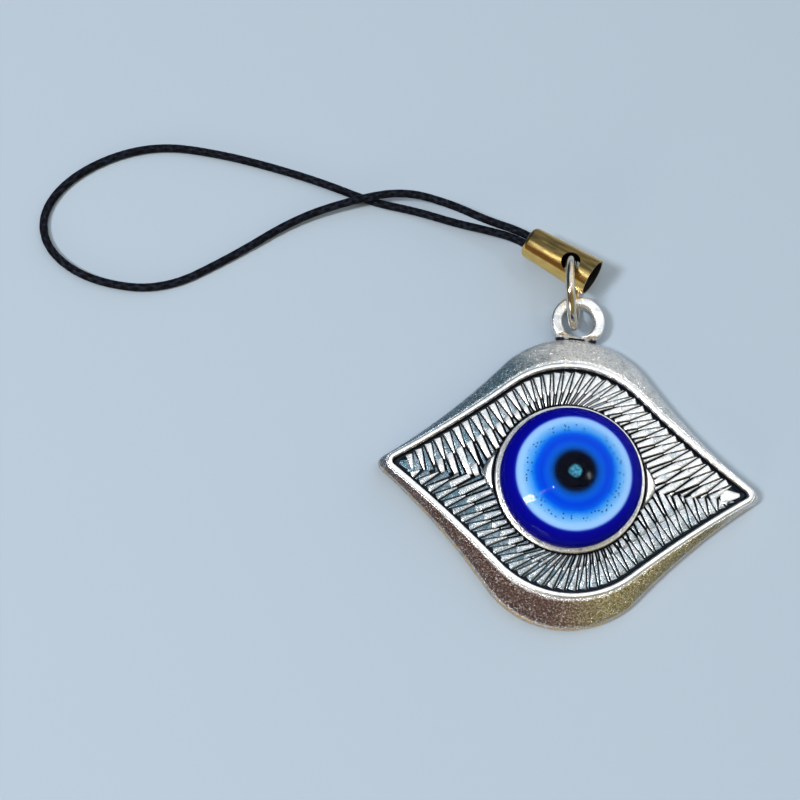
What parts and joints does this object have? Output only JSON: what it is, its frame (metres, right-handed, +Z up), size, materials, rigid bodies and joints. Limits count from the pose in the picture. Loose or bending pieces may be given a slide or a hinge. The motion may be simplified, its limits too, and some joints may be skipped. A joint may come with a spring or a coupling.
{
  "type": "evil eye ornament",
  "caption": "Lens-shaped antiqued silver charm with a domed blue eye, held by a jump ring in a brass cap on a black cord loop.",
  "frame": {"origin": "on the table, under the middle of the charm's bounding box without the cord and knot", "axes": "+Z up out of the face of the charm as it lies on a table, +Y from its lower crown to the bail, +X to its right-hand point"},
  "size_m": [0.0971, 0.0612, 0.0097],
  "materials": {
    "antique_silver": "antiqued silver plate over a zinc casting, dark in the recesses",
    "adhesive": "cured glue",
    "eye_cobalt": "cobalt blue resin",
    "eye_pale_blue": "pale blue resin",
    "eye_azure": "azure resin",
    "eye_black": "black resin",
    "clear_resin": "clear, polished",
    "nickel_wire": "nickel plated wire",
    "brass_cap": "polished brass",
    "black_nylon": "fine braid"
  },
  "bodies": {
    "pendant": {"pendant_casting": "antique_silver", "eye_adhesive": "adhesive", "eye_base": "eye_cobalt", "eye_white_layer": "eye_pale_blue", "eye_blue_layer": "eye_azure", "eye_pupil": "eye_black", "eye_clear_dome": "clear_resin"},
    "ring": {"jump_ring": "nickel_wire"},
    "cord_end": {"cord_cap": "brass_cap", "cord_knot": "black_nylon", "cord_loop": "black_nylon"}
  },
  "joints": [
    {"name": "ring_swing", "type": "hinge", "parent": "pendant", "child": "ring", "pos_m": [-0.00049, 0.01699, 0.00229], "axis": [0.9679, 0.0677, 0.2419], "range_deg": [-88, 8]},
    {"name": "cap_swing", "type": "hinge", "parent": "ring", "child": "cord_end", "pos_m": [-0.00151, 0.02087, 0.0053], "axis": [-0.231, -0.1383, 0.9631], "range_deg": [-140, 45]}
  ]
}
